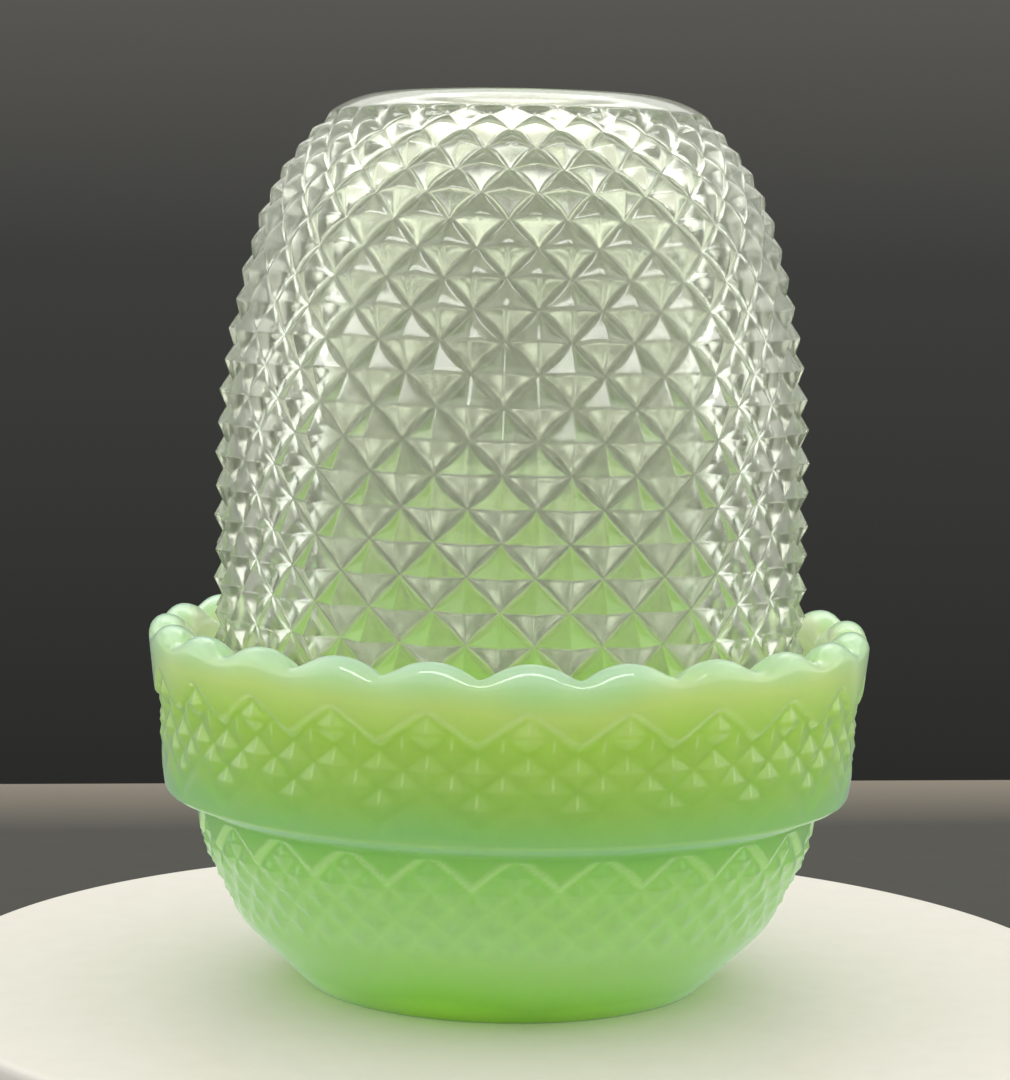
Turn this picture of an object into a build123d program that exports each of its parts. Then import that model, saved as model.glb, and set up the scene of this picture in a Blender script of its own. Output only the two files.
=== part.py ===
from build123d import *
from math import cos, pi, radians, sin
import os

# A two-piece candle lamp in pressed glass. A clear dome shade with a diamond-point
# pattern stands by its own weight on a ledge inside a scalloped green bowl.
# Millimetres, +Z up, origin at the centre of the face that the foot stands on.
# The fine pressed pattern on the outside of the bowl, about 1 mm deep, is left smooth here.

# ------------------------------------------------------------------ dome shade
DOME_DIAMETER = 98.4        # over the points of the diamonds on the straight side
DOME_HEIGHT = 111.3         # resting edge to the top of the lip
GLASS_WALL = 3.0            # inside face to the grooves between diamonds
SHOULDER_RADIUS = 132.9     # long curve above the straight side
SHOULDER_TURN = 17.7        # degrees from vertical where it ends
CROWN_RADIUS = 41.3         # tighter curve above it
CROWN_TURN = 44.8           # degrees from vertical where it ends
TOP_RADIUS = 16.7           # curve from there to the level top of the lip
LIP_TURN = 57.0             # degrees from vertical where the plain lip takes over
LIP_STEP = 0.4              # how far the lip stands out from the ends of the grooves
VENT_DIAMETER = 38.0        # open hole at the top
LIP_ROUNDING = 1.8          # fire-polished edges of the vent
DIAMOND_COLUMNS = 28        # whole diamonds round the dome
DIAMOND_ASPECT = 0.94       # height of a diamond over its width
DIAMOND_DEPTH = 2.6         # point of a diamond above the grooves, on the straight side
DIAMOND_CLOCKING = -1.9     # degrees that the pattern is turned from the front
RESTING_BAND = 5.5          # height of the plain band under the diamonds
BAND_INSET = 1.0            # plain band inside the points of the diamonds
EDGE_ROUNDING = 1.5         # resting edge

# ------------------------------------------------------------------ base bowl
RIM_DIAMETER = 119.5        # widest point of the scalloped rim
BASE_HEIGHT = 60.4          # foot to the crest of a scallop
RIM_OUTER_ROUNDING = 2.8    # from the crest over to the widest point
RIM_INNER_ROUNDING = 4.0    # from the crest in to the wall round the dome
SCALLOPS = 24
SCALLOP_DEPTH = 2.7         # crest down to the notch beside it
SCALLOP_BOW = 0.7           # how far a scallop's side bows out from its chord
CREST_CLEAR = 0.35          # neighbouring notches would meet this far above the crest
SCALLOP_CLOCKING = 3.2      # degrees from the front to the nearest crest
COLLAR_DIAMETER = 116.0     # collar at its top
COLLAR_TOP = 47.0           # height where the collar meets the band above it
COLLAR_STEP = 0.9           # how far that band stands out from the collar
COLLAR_STEP_RISE = 1.6      # height of the slope between them
COLLAR_TAPER = 1.3          # how much smaller the collar's radius is at its lower corner
COLLAR_BOTTOM = 32.4        # height of that corner
COLLAR_ROUNDING = 1.8
UNDERSIDE_DROP = 2.2        # from the corner down the collar's underside to the lower bowl
BOWL_DIAMETER = 103.0       # lower bowl under the collar
BOWL_SIDE = 6.2             # upright stretch of its side
BELLY_DIAMETER = 90.0       # where the slopes of its side and its foot would meet
BELLY_HEIGHT = 11.6
BELLY_ROUNDING = 26.0
FOOT_DIAMETER = 66.4        # outer edge of the ring it stands on
FOOT_RING = 5.5             # width of that ring
FOOT_HOLLOW = 1.4           # depth of the hollow inside the ring
SMALL_ROUNDING = 0.5        # pressed corners of the foot, the ledge and the collar
SEAT_HEIGHT = 35.3          # ledge that the dome stands on
SEAT_LEDGE = 5.6            # width of the ledge
SEAT_CLEARANCE = 0.8        # between the points of the diamonds and the wall round them
FLOOR_DIAMETER = 74.0       # where the slope of the well's side would meet its floor
FLOOR_THICKNESS = 7.0
WELL_ROUNDING = 22.0

# ------------------------------------------------------------------ worked out
DOME_R = DOME_DIAMETER / 2
BORE_R = DOME_R - DIAMOND_DEPTH - GLASS_WALL
VENT_R = VENT_DIAMETER / 2
RIM_R = RIM_DIAMETER / 2
COLLAR_R = COLLAR_DIAMETER / 2
BOWL_R = BOWL_DIAMETER / 2
BELLY_R = BELLY_DIAMETER / 2
FOOT_R = FOOT_DIAMETER / 2
FLOOR_R = FLOOR_DIAMETER / 2
LEDGE_R = DOME_R + SEAT_CLEARANCE
WELL_R = LEDGE_R - SEAT_LEDGE
BOWL_TOP = COLLAR_BOTTOM - UNDERSIDE_DROP
DOME_TOP = SEAT_HEIGHT + DOME_HEIGHT
PATTERN_BOTTOM = SEAT_HEIGHT + RESTING_BAND
LEVEL = pi / 2
ARCS = (
    (SHOULDER_RADIUS, 0.0, radians(SHOULDER_TURN)),
    (CROWN_RADIUS, radians(SHOULDER_TURN), radians(CROWN_TURN)),
    (TOP_RADIUS, radians(CROWN_TURN), LEVEL),
)
SIDE_TOP = DOME_TOP - sum(radius * (sin(end) - sin(start)) for radius, start, end in ARCS)
ON_BASE = (Align.CENTER, Align.CENTER, Align.MIN)


def at_turn(turn, inset=0.0):
    """Radius and height on the dome's outline where it leans in by this angle."""
    r = DOME_R
    z = SIDE_TOP
    for radius, start, end in ARCS:
        reached = min(max(turn, start), end)
        r -= radius * (cos(start) - cos(reached))
        z += radius * (sin(reached) - sin(start))
    return r - inset * cos(turn), z - inset * sin(turn)


def along_side(distance):
    """Radius, height and lean of the outline this far up from the start of the pattern."""
    left = distance - (SIDE_TOP - PATTERN_BOTTOM)
    if left <= 0:
        return DOME_R, SIDE_TOP + left, 0.0
    for radius, start, end in ARCS:
        if left <= radius * (end - start):
            turn = start + left / radius
            return (*at_turn(turn), turn)
        left -= radius * (end - start)
    return (*at_turn(LEVEL), LEVEL)


def groove_at(distance):
    """Radius and height of the bottom of the grooves, shallower as the dome narrows."""
    r, z, turn = along_side(distance)
    depth = DIAMOND_DEPTH * r / DOME_R
    return r - depth * cos(turn), z - depth * sin(turn)


def pattern_rows():
    """Distances up the side of the rows of diamond corners, closer as the dome narrows."""
    step_over_radius = DIAMOND_ASPECT * pi / DIAMOND_COLUMNS
    rows = [0.0]
    while True:
        following = rows[-1] + step_over_radius * along_side(rows[-1])[0]
        if along_side(following)[2] > radians(LIP_TURN):
            return rows
        rows.append(following)


def spun(outline):
    """The solid swept about the axis by a closed outline drawn as radius and height."""
    return revolve(Plane.XZ * make_face(outline), Axis.Z)


def corner_row(row, distance, plain):
    """One ring of corners: diamond points and groove crossings by turns, or all grooves."""
    ring = []
    for column in range(2 * DIAMOND_COLUMNS):
        is_point = (row + column) % 2 == 0 and not plain
        r, z = along_side(distance)[:2] if is_point else groove_at(distance)
        angle = radians(DIAMOND_CLOCKING - 90) + column * pi / DIAMOND_COLUMNS
        ring.append(Vector(r * cos(angle), r * sin(angle), z))
    return ring


def patterned_side(rows):
    """Closed solid whose side is the diamonds, each of four flat facets."""
    last = len(rows) - 1
    rings = [corner_row(row, distance, row in (0, last)) for row, distance in enumerate(rows)]
    faces = []
    for row in range(last):
        for column in range(2 * DIAMOND_COLUMNS):
            low, high = rings[row][column], rings[row + 1][column]
            beside = (column + 1) % (2 * DIAMOND_COLUMNS)
            low_beside, high_beside = rings[row][beside], rings[row + 1][beside]
            if (row + column) % 2:
                facets = ((low, low_beside, high_beside), (low, high_beside, high))
            else:
                facets = ((low, low_beside, high), (low_beside, high_beside, high))
            faces += [Face(Wire.make_polygon(corners)) for corners in facets]
    faces += [Face(Wire.make_polygon(rings[0])), Face(Wire.make_polygon(rings[last]))]
    return Solid(Shell(faces))


def lip(groove_r, bottom):
    """Plain disc on top of the diamonds, rounded like the outline it carries on."""
    turn = radians(LIP_TURN)
    start = at_turn(turn)
    end = at_turn(LEVEL)
    outline = Polyline(end, (0, end[1]), (0, bottom), (groove_r + LIP_STEP, bottom), start)
    return spun(outline + ThreePointArc(start, at_turn((turn + LEVEL) / 2), end))


def dome_hollow():
    """Space under the dome, a constant depth inside its outline, with the vent through it."""
    inset = DOME_R - BORE_R
    roof = at_turn(LEVEL, inset)
    below = SEAT_HEIGHT - 1
    outline = Polyline(roof, (0, roof[1]), (0, below), (BORE_R, below), (BORE_R, SIDE_TOP))
    for _, start, end in ARCS:
        middle = (start + end) / 2
        outline += ThreePointArc(at_turn(start, inset), at_turn(middle, inset), at_turn(end, inset))
    vent = Pos(0, 0, roof[1] - 1) * Cylinder(VENT_R, DOME_TOP - roof[1] + 2, align=ON_BASE)
    return spun(outline) + vent


def glass_dome():
    """Clear shade: resting band, diamonds, and a plain lip round the open vent."""
    rows = pattern_rows()
    band = Cylinder(DOME_R - BAND_INSET, PATTERN_BOTTOM - SEAT_HEIGHT, align=ON_BASE)
    whole = patterned_side(rows) + Pos(0, 0, SEAT_HEIGHT) * band + lip(*groove_at(rows[-1]))
    dome = whole - dome_hollow()
    circles = dome.edges().filter_by(GeomType.CIRCLE)
    vent_edges = circles.filter_by(lambda edge: abs(edge.radius - VENT_R) < 0.01)
    dome = fillet(vent_edges, LIP_ROUNDING)
    resting_edges = dome.edges().filter_by(GeomType.CIRCLE).group_by(Axis.Z)[0]
    return fillet(resting_edges, EDGE_ROUNDING)


def base_outline():
    """Closed half-section of the base, drawn as radius and height."""
    outer_edge = (RIM_R, BASE_HEIGHT - RIM_OUTER_ROUNDING)
    crest = (RIM_R - RIM_OUTER_ROUNDING, BASE_HEIGHT)
    inner_edge = (crest[0] - RIM_INNER_ROUNDING, BASE_HEIGHT - RIM_INNER_ROUNDING)
    corners = (
        (LEDGE_R, SEAT_HEIGHT, SMALL_ROUNDING),
        (WELL_R, SEAT_HEIGHT, SMALL_ROUNDING),
        (FLOOR_R, FLOOR_THICKNESS, WELL_ROUNDING),
        (0, FLOOR_THICKNESS, 0),
        (0, FOOT_HOLLOW, 0),
        (FOOT_R - FOOT_RING, FOOT_HOLLOW, SMALL_ROUNDING),
        (FOOT_R - FOOT_RING, 0, SMALL_ROUNDING),
        (FOOT_R, 0, SMALL_ROUNDING),
        (BELLY_R, BELLY_HEIGHT, BELLY_ROUNDING),
        (BOWL_R, BOWL_TOP - BOWL_SIDE, SMALL_ROUNDING),
        (BOWL_R, BOWL_TOP, SMALL_ROUNDING),
        (COLLAR_R - COLLAR_TAPER, COLLAR_BOTTOM, COLLAR_ROUNDING),
        (COLLAR_R, COLLAR_TOP, SMALL_ROUNDING),
        (COLLAR_R + COLLAR_STEP, COLLAR_TOP + COLLAR_STEP_RISE, SMALL_ROUNDING),
    )
    points = [inner_edge, *[(r, z) for r, z, _ in corners], outer_edge]
    outline = FilletPolyline(*points, radius=[rounding for _, _, rounding in corners])
    outline += RadiusArc(outer_edge, crest, -RIM_OUTER_ROUNDING)
    return outline + RadiusArc(crest, inner_edge, -RIM_INNER_ROUNDING)


def scallop_notch():
    """What is cut away between two crests: a notch with two bowed sides, across +X."""
    half_pitch = RIM_R * pi / SCALLOPS
    bottom = BASE_HEIGHT - SCALLOP_DEPTH
    meeting = BASE_HEIGHT + CREST_CLEAR
    bow_y = half_pitch / 2 - SCALLOP_BOW
    bow_z = (bottom + meeting) / 2 + SCALLOP_BOW
    outline = ThreePointArc((0, bottom), (bow_y, bow_z), (half_pitch, meeting))
    outline += ThreePointArc((0, bottom), (-bow_y, bow_z), (-half_pitch, meeting))
    outline += Polyline(
        (half_pitch, meeting),
        (half_pitch, meeting + SCALLOP_DEPTH),
        (-half_pitch, meeting + SCALLOP_DEPTH),
        (-half_pitch, meeting),
    )
    start = LEDGE_R
    return Pos(start, 0, 0) * extrude(Plane.YZ * make_face(outline), RIM_R + 1 - start)


def base_bowl():
    """Green base: foot, lower bowl, collar, scalloped rim, ledge for the dome and well."""
    notch = scallop_notch()
    pitch = 360 / SCALLOPS
    first = SCALLOP_CLOCKING - 90 + pitch / 2
    return spun(base_outline()) - [Rot(0, 0, first + index * pitch) * notch for index in range(SCALLOPS)]


os.makedirs("parts", exist_ok=True)
export_step(base_bowl(), "parts/base_bowl.step")
export_step(glass_dome(), "parts/glass_dome.step")
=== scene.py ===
"""Looks for a two-piece candle lamp: a clear diamond-point dome in an opalescent green bowl.

Everything is in metres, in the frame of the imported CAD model: +Z up, front towards -Y.
"""
from math import cos, hypot, pi, radians, sin, sqrt, tan

import bpy
import numpy as np
from mathutils import Matrix, Vector


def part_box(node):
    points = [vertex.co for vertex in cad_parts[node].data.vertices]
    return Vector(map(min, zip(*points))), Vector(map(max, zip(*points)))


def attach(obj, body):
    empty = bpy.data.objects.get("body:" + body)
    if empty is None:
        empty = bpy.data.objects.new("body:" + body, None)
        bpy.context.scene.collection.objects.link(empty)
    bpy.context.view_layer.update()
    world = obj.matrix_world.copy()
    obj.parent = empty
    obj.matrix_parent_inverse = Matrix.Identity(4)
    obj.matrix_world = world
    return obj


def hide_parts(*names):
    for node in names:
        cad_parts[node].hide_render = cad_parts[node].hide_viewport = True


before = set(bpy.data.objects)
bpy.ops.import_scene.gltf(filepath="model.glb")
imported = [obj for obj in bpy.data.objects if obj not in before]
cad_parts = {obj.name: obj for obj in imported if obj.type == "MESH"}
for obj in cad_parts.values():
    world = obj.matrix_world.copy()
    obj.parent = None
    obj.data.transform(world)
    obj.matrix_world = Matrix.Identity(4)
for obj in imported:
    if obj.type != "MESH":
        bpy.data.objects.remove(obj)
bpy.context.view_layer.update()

MM = 0.001
FULL_TURN = 2 * pi
DOME_LOW, DOME_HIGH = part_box("glass_dome")
BASE_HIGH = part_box("base_bowl")[1]

# ------------------------------------------------------------------ dome shade, millimetres
DOME_R = 49.2               # over the points of the diamonds
DOME_TOP = DOME_HIGH.z / MM
SEAT_HEIGHT = DOME_LOW.z / MM
BORE_R = 43.6               # smooth inside face
VENT_R = 19.0               # open hole at the top
LIP_ROUNDING = 1.8          # of the vent's edges
EDGE_ROUNDING = 1.5         # of the resting edge
RESTING_BAND = 5.5          # height of the plain band under the diamonds
BAND_INSET = 1.0            # that band inside the points of the diamonds
BAND_TOP_ROUNDING = 0.6     # where it turns in to the first groove
DIAMOND_COLUMNS = 28
DIAMOND_ASPECT = 0.94       # height of a diamond over its width
DIAMOND_DEPTH = 2.6         # point above the grooves, on the straight side
DIAMOND_CLOCKING = radians(-1.9)
LIP_TURN = radians(57.0)    # lean where the plain lip takes over
LIP_GAP = 0.02              # lean between the last diamonds and the first ring of the lip
LEVEL = pi / 2
STRAIGHT = 1e-3             # a corner that turns no more than twice this isn't rounded
ARCS = (                    # radius, lean where it starts, lean where it ends
    (132.9, 0.0, radians(17.7)),
    (41.3, radians(17.7), radians(44.8)),
    (16.7, radians(44.8), LEVEL),
)
SIDE_TOP = DOME_TOP - sum(radius * (sin(end) - sin(start)) for radius, start, end in ARCS)
PATTERN_BOTTOM = SEAT_HEIGHT + RESTING_BAND
# places of the points across one square of the pattern, closer beside ridges and grooves
CELL_STEPS = (0.0, 0.03, 0.09, 0.26, 0.5, 0.74, 0.91, 0.97, 1.0)
CRISP_RIDGE = 0.03          # rounding of the ridges low down, as a share of the depth
SOFT_RIDGE = 0.55           # and just under the lip, where fire polishing softened them
CRISP_GROOVE = 0.015        # rounding of the grooves in the same two places
SOFT_GROOVE = 0.05
SOFTENING_STARTS = 0.5      # share of the way up the pattern
SOFTENING_ENDS = 1.0
PILLOW = 0.9                # how far the points are rounded into pillows near the top
PILLOW_STARTS = 0.5
PILLOW_ENDS = 0.85
SOFTENED_DEPTH = 0.4        # share of the depth that fire polishing took just under the lip
RUN_GAP = 0.1               # between the ends of neighbouring runs of rings
WIDE_RUN_GAP = 0.2
BAND_TOP_DROP = 0.3         # from the start of the diamonds down to the band's upper corner
WALL_START_DROP = 1.0       # from the end of the curves down to the first ring of the wall
BAND_POINTS = 26            # points along each plain run of the dome's section
LIP_POINTS = 16
VENT_POINTS = 26
INSIDE_POINTS = 48
WALL_POINTS = 40

# ------------------------------------------------------------------ base bowl, millimetres
RIM_R = 59.75               # widest point of the rim
RIM_OUTER_ROUNDING = 2.8    # from the crest over to the widest point
RIM_INNER_ROUNDING = 4.0    # from the crest in to the wall round the dome
RIM_CREST_R = 56.95
BASE_HEIGHT = BASE_HIGH.z / MM
RIM_TURN = BASE_HEIGHT - RIM_OUTER_ROUNDING     # height where the outer rounding starts
LEDGE_R = 50.0
WELL_R = 44.4
LEDGE_ROUNDING = 0.8
FLOOR_R = 37.0
FLOOR_HEIGHT = 7.0
WELL_ROUNDING = 22.0
FOOT_R = 33.2
FOOT_RING = 5.5             # width of the ring that it stands on
FOOT_HOLLOW = 1.4
FOOT_INNER_ROUNDING = 0.6
FOOT_OUTER_ROUNDING = 0.8
# the outside from the foot up: radius, height and rounding of each corner of the section
BELLY = (45.0, 11.4, 20.0)
BOWL_SIDE = (50.8, 23.0, 8.0)
BOWL_TOP = (51.8, 30.4, 0.6)
COLLAR_CORNER = (56.9, 32.6, 1.0)
COLLAR_LOWER_SIDE = (57.4, 36.0, 6.0)
COLLAR_UPPER_SIDE = (58.0, 43.0, 9.0)
COLLAR_TOP = (58.0, 47.0, 1.0)
BAND_BOTTOM = (58.8, 48.8, 1.0)
BAND_TOP = (RIM_R, 57.6, 2.0)
ARC_STEPS = 10              # steps over each of those roundings
SCALLOPS = 24
SCALLOP_CLOCKING = radians(3.2)
SCALLOP_DEPTH = 2.7         # crest down to the notch beside it
LATTICE_HALVES = 96         # half diamonds round the collar and the lower bowl
LATTICE_CLOCKING = radians(3.0)
LATTICE_STEPS = (0.0, 0.1, 0.3, 0.5, 0.7, 0.9, 1.0)     # of the points across one of them
COLLAR_DEPTH = 0.82         # of its pattern
COLLAR_FADE = 0.5           # share of that depth that is gone at the lowest groove
COLLAR_FADE_OVER = 2.0      # half rows over which it goes
BOWL_DEPTH = 0.8
# softness of the ridges, the grooves and the corners of the zigzags, in half diamonds
COLLAR_RIDGE = 0.1
COLLAR_GROOVE = 0.06
COLLAR_ZIGZAG = 0.3
LAST_ZIGZAG = 0.1
BOWL_RIDGE = 0.2
BOWL_GROOVE = 0.08
BOWL_ZIGZAG = 0.12
COLLAR_NODES = (52.5, 49.65, 46.8, 44.0, 41.1, 38.3, 35.6, 33.2)   # top peak down, by half rows
COLLAR_LAST_GROOVE = 4      # half rows from the top peak to the lowest groove's highest point
TOP_EDGE_WIDTH = 0.35       # slope from the pattern up to the plain glass, in half rows
BAND_R = 58.7               # plain band where it meets the collar's pattern
BOWL_NODES = (29.5, 26.9, 24.1, 21.3, 18.4, 15.4, 12.5, 9.9)       # the same for the lower bowl
BOWL_TURN = radians(-1.2)   # of the lower bowl's pattern, against the collar's
BOWL_FADE_STARTS = 5.0      # half rows from its top peak, where the pattern starts to die out
BOWL_FADE_ENDS = 6.6
EDGE_HIGHLIGHT_MIDDLE = 0.15     # of the painted highlight lines along the zigzags, in half rows above them
EDGE_HIGHLIGHT_WIDTH = 0.22
# strength of the painted highlight lines along the zigzags, on the collar and on the lower bowl
COLLAR_EDGE_HIGHLIGHT = 0.6
BOWL_EDGE_HIGHLIGHT = 1.0
# strength of the paler grooves: partly thinner glass, partly painted highlight
GROOVE_THIN_GLASS_AND_HIGHLIGHT = 0.5
# strength of the painted highlight dash up the upper ridge of each point of the lattice
RIDGE_HIGHLIGHT_STRENGTH = 1.0
DASH_HALF_WIDTH = 0.05      # of the painted highlight dash up each point of the lattice
DASH_SETS_IN = (0.05, 0.25) # half rows over the point
DASH_DIES_OUT = (0.6, 0.85)
SEAM_HEIGHT = 32.4          # thin raised line along the collar's lower corner
SEAM_WIDTH = 0.35
SEAM_RISE = 0.15
SCALLOP_INNER_R = 51.2      # the scallops die out on the rim's inside between these two
SCALLOP_FULL_R = 54.6
SCALLOP_FULL_DROP = 0.3     # they are whole this far below the crests on its outside
SCALLOP_REACH_DOWN = 5.0    # and this far down they have died out
SCALLOP_REACH_IN = 8.0      # nothing of them is lower than this on its inside
SCALLOP_SCOOP = 0.6         # how far the notches also draw the rim in
SCOOP_LOW = 6.0             # below the crests, where that starts
SCOOP_HIGH = 1.0            # and where it is full
NOTCH_SOFTNESS = 0.04       # of the notches between the scallops, on the rim's inside
OUTER_SOFTNESS = 0.5        # and along its outer edge
OUTER_EDGE = (RIM_CREST_R - 0.3, RIM_R - 0.4)   # radii over which that edge sets in
OUTER_DEPTH = 0.6           # share of the depth that the scallops have along it
SLOPE_REACH = 0.15          # either side of a ring, where the lean of the outside is taken
UNDERSIDE_STOPS = (0.0, 8.0, 16.0, 24.0)        # rings in the hollow of the foot
FOOT_STOPS = 64             # rings round the foot
FOOT_STOPS_START = FOOT_R - FOOT_RING - 1.2
FOOT_CLEAR = 0.5            # height where the outside has left the foot and only rises
INNERMOST_R = 0.4           # last ring on the floor of the well
PLAIN_STOPS = 16            # rings over each plain stretch beside a pattern
RIM_OUTER_STEPS = 12
RIM_INNER_STEPS = 16
INSIDE_STOPS = 110
WALL_RINGS = (12, 22)       # rings past the outside over which the paler inner wall, painted light standing in for light through the rim, sets in
LEDGE_RINGS = (26, 38)      # and over which the brighter green of the ledge and the well, painted light standing in for light that reaches them, sets in

# ------------------------------------------------------------------ looks
CLEAR_TINT = (0.97, 1.0, 0.895)
CLEAR_TINT_THICK = (0.94, 0.99, 0.84)
CLEAR_TRANSMISSION = 0.91
CLEAR_ROUGHNESS = (0.12, 0.16)
GLASS_IOR = 1.5
GREEN_WARM = (1.0, 1.0, 0.72)       # what the warmer patches multiply the green by
GREEN_ROUGHNESS = (0.04, 0.08)
GREEN_SUBSURFACE = 1.0
GREEN_SUBSURFACE_RADIUS = (0.9, 1.0, 0.7)
GREEN_SUBSURFACE_SCALE = 0.03
GREEN_SHEEN = 0.45
GREEN_SHEEN_ROUGHNESS = 0.4
GREEN_SHEEN_TINT = (0.72, 1.0, 0.95, 1.0)
THIN_GLASS_AND_HIGHLIGHT_SHARE = 0.45              # how far the pale lines, painted highlights and in the grooves partly thinner glass, go towards their colour
CLOUD_DRIFT = 0.03                  # how far the clouds shift the colours up or down
WARM_PATCH_SHARE = 0.35
# strength and depth in metres of the bumps
RIPPLE_BUMP = (0.12, 0.0006)
CLOUD_BUMP = (0.1, 0.001)
SPECKLE_BUMP = (0.05, 0.0003)
# part of a noise's spread that a change runs over
GRAIN_SPAN = (0.35, 0.75)
CLOUD_SPAN = (0.3, 0.7)
SWIRL_SPAN = (0.4, 0.65)
FINE_SPAN = (0.3, 0.7)
SOFT_DETAIL = 2.0                   # octaves of the two slow noises
# scales of the noises, the finer the higher
RIPPLE_SCALE = 70.0
GRAIN_SCALE = 900.0
CLOUD_SCALE = 28.0
SWIRL_SCALE = 16.0
FINE_SCALE = 260.0
SPECKLE_SCALE = 180.0
TABLE_SCALE = 120.0


def display(*levels):
    """Linear colour of these 0-255 display levels."""
    shares = [level / 255 for level in levels]
    return tuple(s / 12.92 if s <= 0.04045 else ((s + 0.055) / 1.055) ** 2.4 for s in shares)


GREEN_BY_HEIGHT = (
    (0.0, display(168, 243, 20)),
    (0.06, display(143, 206, 48)),
    (0.14, display(152, 204, 103)),
    (0.24, display(156, 199, 132)),
    (0.36, display(149, 198, 116)),
    (0.48, display(154, 206, 118)),
    (0.56, display(144, 200, 124)),
    (0.64, display(158, 202, 106)),
    (0.74, display(170, 212, 105)),
    (0.82, display(178, 229, 104)),
    (0.9, display(197, 251, 138)),
    (0.96, display(178, 247, 163)),
    (1.0, display(172, 239, 179)),
)
# brighter green on the ledge and well: painted light standing in for light that reaches them
# through the glass
GREEN_INSIDE_PAINTED_LIGHT = display(192, 254, 120)
# paler green on the inner wall round the dome: painted light standing in for light through the rim
GREEN_WALL_PAINTED_LIGHT = display(216, 250, 190)
# colour of the pale lines: painted highlights, and in the grooves partly thinner glass
GREEN_THIN_GLASS_AND_HIGHLIGHT = display(208, 250, 170)
BACKDROP_BY_HEIGHT = (
    (0.0, display(40, 40, 38)),
    (0.41, display(42, 42, 41)),
    (0.5, display(62, 62, 60)),
    (0.5435, display(88, 87, 83)),
    (0.6, display(112, 111, 107)),
    (0.7, display(140, 139, 134)),
    (0.75, display(185, 184, 178)),
    (0.79, display(242, 240, 228)),
    (0.86, display(249, 247, 230)),
)
ROOM_BY_HEIGHT = (
    (0.0, display(70, 70, 67)),
    (0.44, display(130, 129, 124)),
    (0.5, display(205, 204, 198)),
    (0.58, display(203, 202, 196)),
    (0.68, display(186, 185, 180)),
    (0.8, display(216, 215, 204)),
    (0.9, display(252, 250, 236)),
)
BACKDROP_EDGE = 0.75        # how squarely behind the object a direction is where the backdrop ends
BACKDROP_FULL = 0.95        # and where it is at its darkest
TURNTABLE_R = 99.0          # the stage, in millimetres
TURNTABLE_THICKNESS = 12.0
TURNTABLE_CENTRE = (1.5, 3.1)
TURNTABLE_WHITE = display(232, 226, 221)
TURNTABLE_WHITE_LIGHT = display(240, 234, 231)
TURNTABLE_ROUGHNESS = 0.5
DISC_EDGE = ((1.5, 0.0), (0.6, 0.15), (0.15, 0.6), (0.0, 1.5))     # in from the side, down
DISC_SIDES = 256
TABLE_REACH = 900.0
TABLE_THICKNESS = 18.0
TABLE_YAW = radians(7.0)
TABLE_FAR_EDGE = 0.246      # metres, as the material reads it
TABLE_EDGE_BAND = 0.06
TABLE_ROUGHNESS = 0.7
TABLE_SPECULAR = 0.2
TABLE_GREY = display(62, 61, 58)
TABLE_GREY_LIGHT = display(67, 66, 63)
TABLE_EDGE_BROWN = display(128, 119, 109)
WHITE_LIGHT = (1.0, 1.0, 1.0)
COOL_LIGHT = (0.95, 1.0, 1.0)
# each lamp: name, place, point aimed at, width and height in metres, watts, colour
ROOM_LAMPS = (
    ("lamp_left", (-1.0, 0.05, 0.45), (0, 0, 0.07), (1.2, 1.2), 3.9, COOL_LIGHT),
    ("lamp_right", (1.0, 0.05, 0.45), (0, 0, 0.07), (1.2, 1.2), 4.2, COOL_LIGHT),
    ("lamp_back", (0.0, 0.8, 0.85), (0, 0, 0.07), (1.8, 0.8), 4.9, WHITE_LIGHT),
)
# lights the front without a mirror image in the gloss
FRONT_LAMP = ("lamp_front", (0.0, -1.3, 0.12), (0, 0, 0.05), (1.6, 0.5), 4.8, WHITE_LIGHT)
# these only shine in the gloss, as narrow highlights along rounded edges
STRIP_LAMPS = (
    ("strip_front", (0.0, -0.47, 0.95), (0, 0, 0.07), (1.1, 0.2), 6.8, WHITE_LIGHT),
    ("strip_back", (0.0, 0.5, 0.6), (0, 0, 0.12), (0.6, 0.12), 0.5, WHITE_LIGHT),
)
CAMERA_PLACE = (-1.0, -485.1, 119.8)
CAMERA_PITCH = radians(5.47)
CAMERA_ROLL = radians(1.02)
CAMERA_LENS = 97.63
CAMERA_SENSOR = 36.0
CAMERA_CLIP = 0.01


def smooth_least(p, q, softness):
    """The lesser of two heights, rounded where they are equal."""
    return 0.5 * (p + q - np.sqrt((p - q) ** 2 + softness ** 2))


def smooth_step(value, start, end):
    """0 up to start, 1 from end on, and an even curve between them."""
    t = np.clip((value - start) / (end - start), 0.0, 1.0)
    return t * t * (3 - 2 * t)


def rounded_path(corners, arc_steps=8):
    """Points along a path of straight runs, each corner (r, z, rounding) turned by an arc."""
    points = [corners[0][:2]]
    for before, corner, after in zip(corners, corners[1:], corners[2:]):
        at = Vector(corner[:2])
        back = (Vector(before[:2]) - at).normalized()
        ahead = (Vector(after[:2]) - at).normalized()
        half_angle = back.angle(ahead) / 2
        if corner[2] <= 0 or half_angle > LEVEL - STRAIGHT:
            points.append(tuple(at))
            continue
        reach = corner[2] / tan(half_angle)
        centre = at + (back + ahead).normalized() * corner[2] / sin(half_angle)
        first = at + back * reach - centre
        last = at + ahead * reach - centre
        swing = first.angle_signed(last)
        for step in range(arc_steps + 1):
            turn = -swing * step / arc_steps
            turned = Vector((
                first.x * cos(turn) - first.y * sin(turn),
                first.x * sin(turn) + first.y * cos(turn),
            ))
            points.append(tuple(centre + turned))
    points.append(corners[-1][:2])
    return np.array(points)


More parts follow.
